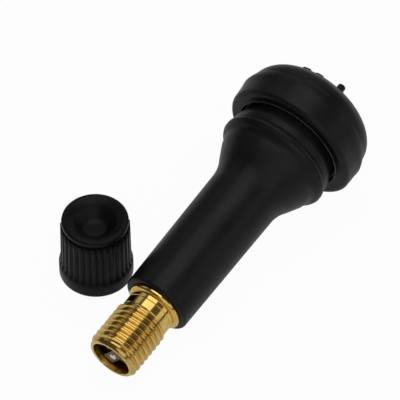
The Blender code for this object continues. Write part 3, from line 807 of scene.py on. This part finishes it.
@dataclass
class BrassStem:
    """Turned brass stem, with both of its threads."""

    place: Placement
    cap_thread: Thread = Thread(root=3.47, crest=3.85, pitch=0.93, start=0.10, end=7.55, lead=0.60)
    core_thread: Thread = Thread(root=2.66, crest=2.34, pitch=0.706, start=1.50, end=5.20, lead=0.30)
    mouth_radius: float = 3.36
    mouth_bore: float = 2.98
    mouth_bore_depth: float = 0.70
    plain_radius: float = 3.52
    score_station: float = 8.95
    score_width: float = 0.14
    score_depth: float = 0.08
    flange_station: float = 10.10
    flange_radius: float = 4.15
    flange_thickness: float = 0.22
    flange_fillet: float = 0.50
    shank_radius: float = 3.30
    shank_end: float = 36.00
    relief_radius: float = 2.72
    relief_length: float = 0.80
    seat_start: float = 8.10
    seat_end: float = 9.90
    seat_radius: float = 2.34
    air_bore: float = 1.80
    # Share of the painted shade, a darker brown, at the bottom of the cap thread's grooves.
    groove_painted_shade: float = 0.5

    def outside(self) -> Outline:
        """Return the rings from the thread's end to the shank's far end."""
        half = self.score_width / 2
        flare = self.flange_radius - self.plain_radius
        points = [
            (self.plain_radius - 0.03, self.cap_thread.end + 0.07),
            (self.plain_radius, self.cap_thread.end + 0.12),
            (self.plain_radius, self.score_station - half),
            (self.plain_radius - self.score_depth, self.score_station),
            (self.plain_radius, self.score_station + half),
        ]
        for degrees in range(90, -1, -10):
            a = math.radians(degrees)
            points.append((
                self.flange_radius - flare * (1 - math.cos(a)),
                self.flange_station - self.flange_fillet * math.sin(a),
            ))
        back = self.flange_station + self.flange_thickness
        points += [(self.flange_radius, back - 0.03), (self.flange_radius - 0.03, back)]
        points += [(self.shank_radius, back), (self.shank_radius, self.shank_end)]
        return points

    def inside(self) -> Outline:
        """Return the rings from the shank's end back up the bore to the core thread's foot."""
        relief_end = self.core_thread.end + self.relief_length
        return [
            (self.air_bore, self.shank_end), (self.air_bore, self.seat_end),
            (self.seat_radius, self.seat_start), (self.seat_radius, self.seat_start - 0.2),
            (self.relief_radius, relief_end), (self.relief_radius, self.core_thread.end + 0.06),
        ]

    def mouth(self) -> Outline:
        """Return the rings from the core thread's head out to the mouth's outer edge."""
        return [
            (self.core_thread.root, self.core_thread.start - 0.08),
            (self.mouth_bore - 0.1, self.mouth_bore_depth), (self.mouth_bore, 0.06),
            (self.mouth_bore + 0.05, 0.0), (self.mouth_radius, 0.0),
        ]

    def build(self, finish: TurnedMetal) -> None:
        """Make the stem.

        Args:
            finish: its finish.
        """
        bm = bmesh.new()
        self.cap_thread.add_to(bm)
        self.core_thread.add_to(bm)
        outer = extrude_rings(bm, ring_edges(bm, self.cap_thread.end), self.outside() + self.inside())
        bmesh.ops.bridge_loops(bm, edges=outer + ring_edges(bm, self.core_thread.end))
        mouth = extrude_rings(bm, ring_edges(bm, self.core_thread.start), self.mouth())
        bmesh.ops.bridge_loops(bm, edges=mouth + ring_edges(bm, self.cap_thread.start))
        self.paint_groove_shade(bm)
        made = finish_mesh("brass_stem", bm, self.place, sharp=24.0, material=finish.material(self.place))
        ride_and_replace(made, "valve", "stem")

    def paint_groove_shade(self, bm: bmesh.types.BMesh) -> None:
        """Mark the bore and the cap thread's grooves for painted shade: a darker brown colour, more of it the
        deeper a groove, and a rougher surface.

        Args:
            bm: the stem's mesh.
        """
        painted_light_and_shade = bm.verts.layers.float.new("painted_light_and_shade")
        thread = self.cap_thread
        for vert in bm.verts:
            reach, z = vert.co.xy.length, vert.co.z
            depth = (thread.crest - reach) / (thread.crest - thread.root)
            # The bore takes the full painted shade, the thread's grooves a share that grows with their depth.
            if reach < self.mouth_bore - 0.02:
                vert[painted_light_and_shade] = 1.0
            elif thread.start < z < thread.end and depth < 1.01:
                vert[painted_light_and_shade] = max(depth, 0.0) * self.groove_painted_shade


@dataclass
class Cap:
    """Ribbed plastic cap, standing on its open foot."""

    place: Placement
    thread: Thread = Thread(root=3.97, crest=3.58, pitch=0.93, start=0.90, end=6.90, lead=0.40, steps=96)
    rib_count: int = 32
    steps_per_rib: int = 12
    height: float = 10.90
    foot_radius: float = 5.25
    foot_height: float = 1.90
    flare: float = 1.10
    rib_radius: float = 4.98
    rib_top: float = 4.88
    top_radius: float = 4.68
    edge: float = 0.35
    rim_band: float = 0.85
    rim_groove: float = 0.40
    rib_depth: float = 0.26
    rib_roundness: float = 2.2
    rib_runout: float = 0.30
    rib_fade: float = 0.70
    dish_radius: float = 4.15
    dish_slope: float = 0.58
    pocket_top: float = 2.95
    pocket_floor: float = 1.85
    pocket_depth: float = 2.15
    roof: float = 7.70
    mouth_lead: float = 0.45

    @property
    def groove_low(self) -> float:
        """Height of the lower edge of the groove under the rim."""
        return self.height - self.rim_band - self.rim_groove

    def outline(self) -> Outline:
        """Return the outer skin, from the pocket's middle over the rim and down to the foot."""
        floor = self.height - self.pocket_depth
        shoulder = self.height - self.dish_slope
        points = [
            (0.0, floor), (0.7, floor + 0.01), (self.pocket_floor - 0.40, floor + 0.06),
            (self.pocket_floor - 0.15, floor + 0.16), (self.pocket_floor + 0.05, floor + 0.34),
            (self.pocket_top - 0.10, shoulder - 0.14), (self.pocket_top, shoulder - 0.03),
            (self.pocket_top + 0.14, shoulder + 0.06),
            (self.dish_radius - 0.2, self.height - 0.07), (self.dish_radius, self.height),
        ]
        points += arc((self.top_radius - self.edge, self.height - self.edge), self.edge, 82, 0, 7)
        groove = self.top_radius - self.rib_depth
        rim = self.height - self.rim_band
        points += [(self.top_radius, rim + 0.06), (self.top_radius - 0.05, rim), (groove, rim - 0.10)]
        points += [(groove, self.groove_low), (self.rib_top - 0.06, self.groove_low - 0.02)]
        points += [(self.rib_top, self.groove_low - 0.12)]
        ribs_end = self.foot_height + self.flare
        for i in range(1, 9):
            share = i / 8
            radius = self.rib_top + (self.rib_radius - self.rib_top) * share
            points.append((radius, self.groove_low - 0.12 + (ribs_end - self.groove_low + 0.12) * share))
        for i in range(1, 7):
            share = i / 6
            swell = (1 - math.cos(math.pi * share)) / 2
            points.append((
                self.rib_radius + (self.foot_radius - self.rib_radius) * swell,
                ribs_end - self.flare * share,
            ))
        points += arc((self.foot_radius - 0.22, 0.22), 0.22, 0, -90, 4)
        points += [(self.thread.root + self.mouth_lead, 0.0)]
        return points

    def carve_ribs(self, bm: bmesh.types.BMesh) -> None:
        """Sink the gaps between the ribs, which run out in the flared foot.

        Args:
            bm: the cap's outer skin.
        """
        low = self.foot_height + self.flare * self.rib_runout
        for vert in bm.verts:
            reach = vert.co.xy.length
            z = vert.co.z
            outside = reach > self.top_radius - self.rib_depth / 2 and low < z < self.groove_low
            if not outside:
                continue
            pitch = math.tau / self.rib_count
            share = math.atan2(vert.co.y, vert.co.x) % pitch / pitch
            hollow = ((1 - math.cos(math.tau * share)) / 2) ** self.rib_roundness
            foot = min((z - low) / self.rib_fade, 1.0)
            vert.co.xy = vert.co.xy * (1 - self.rib_depth * hollow * foot / reach)

    def build(self, finish: Moulding) -> None:
        """Make the cap.

        Args:
            finish: its finish.
        """
        bm = bmesh.new()
        lathe(bm, self.outline(), self.rib_count * self.steps_per_rib, False)
        self.carve_ribs(bm)
        foot = ring_edges(bm, 0.0)
        self.thread.add_to(bm)
        lead = extrude_rings(bm, ring_edges(bm, self.thread.start), [(self.thread.root, self.mouth_lead)])
        bmesh.ops.bridge_loops(bm, edges=foot + lead)
        roof = extrude_rings(
            bm, ring_edges(bm, self.thread.end),
            [(self.thread.root, self.roof - 0.2), (self.thread.root - 0.2, self.roof), (1.0, self.roof)],
        )
        bmesh.ops.edgeloop_fill(bm, edges=roof)
        made = finish_mesh("ribbed_cap", bm, self.place, sharp=34.0, material=finish.material(self.place))
        ride_and_replace(made, "valve", "cap")


@dataclass
class CorePin:
    """Steel pin of the valve core, with a button tip, flattened into ears where the spring bears."""

    place: Placement
    tip: float = 0.28
    button_radius: float = 0.56
    radius: float = 0.50
    ears: float = 4.97
    ear_length: float = 0.60
    ear_spread: float = 1.84
    ear_flat: float = 0.60
    end: float = 14.85
    rivet_radius: float = 0.76
    rivet_length: float = 0.26

    def build(self, finish: TurnedMetal) -> None:
        """Make the pin.

        Args:
            finish: its finish.
        """
        ears_end = self.ears + self.ear_length
        foot = self.end + self.rivet_length
        outline = [
            (0.0, self.tip), (0.30, self.tip + 0.03), (0.47, self.tip + 0.12),
            (self.button_radius, self.tip + 0.27), (self.button_radius, self.tip + 0.42),
            (self.radius, self.tip + 0.52), (self.radius, self.ears - 0.3), (self.radius, self.ears),
            (self.radius, ears_end), (self.radius, ears_end + 0.3), (self.radius, self.end),
            (self.rivet_radius, self.end), (self.rivet_radius, foot - 0.1),
            (self.rivet_radius - 0.1, foot), (0.0, foot),
        ]
        bm = bmesh.new()
        lathe(bm, outline, 48, False)
        for vert in bm.verts:
            if self.ears - WELD < vert.co.z < ears_end + WELD:
                vert.co.x *= self.ear_spread
                vert.co.y *= self.ear_flat
        made = finish_mesh("pin_with_ears", bm, self.place, sharp=30.0, material=finish.material(self.place))
        ride_and_replace(made, "pin", "core_pin")


@dataclass
class CoreSpring:
    """Coil spring of the valve core, with closed turns at both ends, that rides with the barrel."""

    place: Placement
    wire: float = 0.11
    radius: float = 0.84
    top: float = 5.73
    bottom: float = 12.14
    turns: float = 6.0
    closed_turns: float = 1.0
    closed_pitch: float = 0.242
    steps_per_turn: int = 40
    wall: float = 12.30
    travel: float = 1.60

    def build(self, finish: TurnedMetal) -> None:
        """Make the spring.

        Args:
            finish: its finish.
        """
        bm = bmesh.new()
        circle = bmesh.ops.create_circle(bm, segments=10, radius=self.wire)["verts"]
        bmesh.ops.rotate(bm, cent=(0, 0, 0), matrix=Matrix.Rotation(math.pi / 2, 3, "X"), verts=circle)
        bmesh.ops.translate(bm, vec=(self.radius, 0, self.top), verts=circle)
        first = bm.edges[:]
        last = bm.verts[:] + bm.edges[:]
        open_turns = self.turns - 2 * self.closed_turns
        rise = self.bottom - self.top - 2 * self.closed_turns * self.closed_pitch
        for turns, pitch in (
            (self.closed_turns, self.closed_pitch), (open_turns, rise / open_turns),
            (self.closed_turns, self.closed_pitch),
        ):
            count = round(turns * self.steps_per_turn)
            last = bmesh.ops.spin(
                bm, geom=last, cent=(0, 0, 0), axis=(0, 0, 1), dvec=(0, 0, pitch / self.steps_per_turn),
                angle=math.tau * turns, steps=count, use_merge=False,
            )["geom_last"]
        bmesh.ops.edgeloop_fill(bm, edges=first)
        bmesh.ops.edgeloop_fill(bm, edges=[e for e in last if isinstance(e, bmesh.types.BMEdge)])
        made = finish_mesh("coil_spring", bm, self.place, sharp=40.0, material=finish.material(self.place))
        ride_and_replace(made, "barrel", "core_spring")
        anchor = self.place.matrix() @ Vector((0, 0, self.wall))
        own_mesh(made)


@dataclass(frozen=True)
class Lamp:
    """A soft rectangular lamp: its direction from the object, its size in metres and its power in watts."""

    name: str
    toward: tuple[float, float, float]
    size: tuple[float, float]
    power: float


@dataclass
class Studio:
    """White floor, soft lamps and the camera of the photograph.

    The floor's glow is its share of plain white, as a reflection sees it and as the camera sees it.
    """

    target: Vector = field(default_factory=lambda: Vector((3.79, 2.02, 5.0)) * MM)
    azimuth: float = 55.0
    elevation: float = 49.03
    roll: float = 0.74
    distance: float = 0.4013
    lens: float = 254.6
    sensor: float = 36.0
    floor_size: float = 3.0
    floor_tone: float = 0.88
    mirrored_glow: float = 0.45
    seen_glow: float = 0.96
    surroundings: float = 0.10
    lamp_distance: float = 0.9
    lamps: tuple[Lamp, ...] = (
        Lamp("overhead_softbox", (0.100, 0.008, 0.950), (0.745, 0.80), 2.8),
        Lamp("right_softbox", (0.376, -0.856, 0.339), (1.20, 0.34), 0.95),
        Lamp("front_fill", (-0.50, -0.66, 0.56), (1.10, 0.80), 2.2),
        Lamp("back_fill", (0.85, 0.25, 0.46), (1.10, 0.50), 0.6),
        Lamp("left_fill", (0.34, 0.68, 0.62), (1.00, 0.34), 0.4),
    )

    def add_camera(self) -> None:
        """Place the camera where the photograph's outlines put it."""
        a, e = math.radians(self.azimuth), math.radians(self.elevation)
        right = Vector((math.cos(a), -math.sin(a), 0.0))
        back = Vector((-math.sin(a) * math.cos(e), -math.cos(a) * math.cos(e), math.sin(e)))
        lean = Matrix.Rotation(math.radians(self.roll), 4, "Z")
        turn = Matrix((right, back.cross(right), back)).transposed().to_4x4() @ lean
        data = bpy.data.cameras.new("camera")
        data.lens = self.lens
        data.sensor_width = self.sensor
        data.clip_start = 0.01
        camera = bpy.data.objects.new("camera", data)
        camera.matrix_world = Matrix.Translation(self.target + back * self.distance) @ turn
        bpy.context.scene.collection.objects.link(camera)
        bpy.context.scene.camera = camera

    def add_floor(self) -> None:
        """Lay the white floor, which the camera and the metal see as plain white with a soft shadow."""
        bm = bmesh.new()
        bmesh.ops.create_grid(bm, x_segments=1, y_segments=1, size=self.floor_size / 2)
        mesh = bpy.data.meshes.new("floor")
        bm.to_mesh(mesh)
        bm.free()
        floor = bpy.data.objects.new("floor", mesh)
        bpy.context.scene.collection.objects.link(floor)
        mesh.materials.append(self.floor_material())

    def floor_material(self) -> bpy.types.Material:
        """Return the floor's finish."""
        made = NodeTree("white_floor")
        made.shader.inputs["Base Color"].default_value = (self.floor_tone,) * 3 + (1.0,)
        made.shader.inputs["Roughness"].default_value = 1.0
        made.shader.inputs["Specular IOR Level"].default_value = 0.0
        path = made.add("LightPath")
        seen = made.add("Math", operation="MAXIMUM")
        made.link(path.outputs["Is Camera Ray"], seen.inputs[0])
        mirrored = made.add("Math", operation="MAXIMUM")
        made.link(path.outputs["Is Glossy Ray"], mirrored.inputs[0])
        made.link(path.outputs["Is Transmission Ray"], mirrored.inputs[1])
        made.link(mirrored.outputs[0], seen.inputs[1])
        share = made.add("Math", operation="MULTIPLY")
        made.link(seen.outputs[0], share.inputs[0])
        glow_share = made.span(path.outputs["Is Camera Ray"], self.mirrored_glow, self.seen_glow)
        made.link(glow_share, share.inputs[1])
        glow = made.add("Emission")
        made.link(made.span(path.outputs["Is Camera Ray"], self.floor_tone, 1.0), glow.inputs["Strength"])
        blend = made.add("MixShader")
        made.link(share.outputs[0], blend.inputs["Fac"])
        made.link(made.shader.outputs[0], blend.inputs[1])
        made.link(glow.outputs[0], blend.inputs[2])
        made.link(blend.outputs[0], made.tree.nodes["Material Output"].inputs["Surface"])
        return made.material

    def add_world(self) -> None:
        """Give the scene its dim, even surroundings."""
        world = bpy.data.worlds.new("surroundings")
        world.use_nodes = True
        background = world.node_tree.nodes["Background"]
        background.inputs["Color"].default_value = (1.0, 1.0, 1.0, 1.0)
        background.inputs["Strength"].default_value = self.surroundings
        bpy.context.scene.world = world

    def add_lamp(self, lamp: Lamp) -> None:
        """Hang a lamp that faces the object.

        Args:
            lamp: the lamp.
        """
        data = bpy.data.lights.new(lamp.name, "AREA")
        data.shape = "RECTANGLE"
        data.size, data.size_y = lamp.size
        data.energy = lamp.power
        made = bpy.data.objects.new(lamp.name, data)
        direction = Vector(lamp.toward).normalized()
        made.location = self.target + direction * self.lamp_distance
        made.rotation_euler = direction.to_track_quat("Z", "Y").to_euler()
        bpy.context.scene.collection.objects.link(made)

    def build(self) -> None:
        """Set up the whole studio."""
        self.add_camera()
        self.add_floor()
        self.add_world()
        for lamp in self.lamps:
            self.add_lamp(lamp)
        bpy.context.scene.view_settings.view_transform = "Standard"


def dress_cad_nodes(nodes: dict[str, bpy.types.Object], place: Placement, finishes: Finishes) -> None:
    """Give each CAD node that keeps its own mesh its finish.

    Args:
        nodes: the frame's nodes.
        place: the valve's axis.
        finishes: the finishes.
    """
    # The core's parts take the dark brown of painted shade, for the stem's bore.
    core_brass_painted_shade = finishes.core_brass_painted_shade.material(place)
    wanted = {
        "core_plug": core_brass_painted_shade,
        "core_barrel": core_brass_painted_shade,
        "pin_cup": core_brass_painted_shade,
        "barrel_gasket": finishes.gasket.material(place),
        "cup_seal": finishes.seal.material(place),
    }
    for name, material in wanted.items():
        nodes[name].data.materials.clear()
        nodes[name].data.materials.append(material)
        log.info("%s: %s", name, material.name)


def main() -> None:
    """Build and dress the valve and its cap."""
    logging.basicConfig(level=logging.INFO, format="%(name)s: %(message)s")
    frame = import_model()
    finishes = Finishes()
    valve = valve_placement(frame["joints"])
    RubberBody(valve).build(finishes.rubber)
    BrassStem(valve).build(finishes.brass)
    CorePin(valve).build(finishes.steel)
    CoreSpring(valve).build(finishes.steel)
    Cap(cap_placement()).build(finishes.plastic)
    dress_cad_nodes(frame["nodes"], valve, finishes)
    Studio().build()


if __name__ == "__main__":
    main()
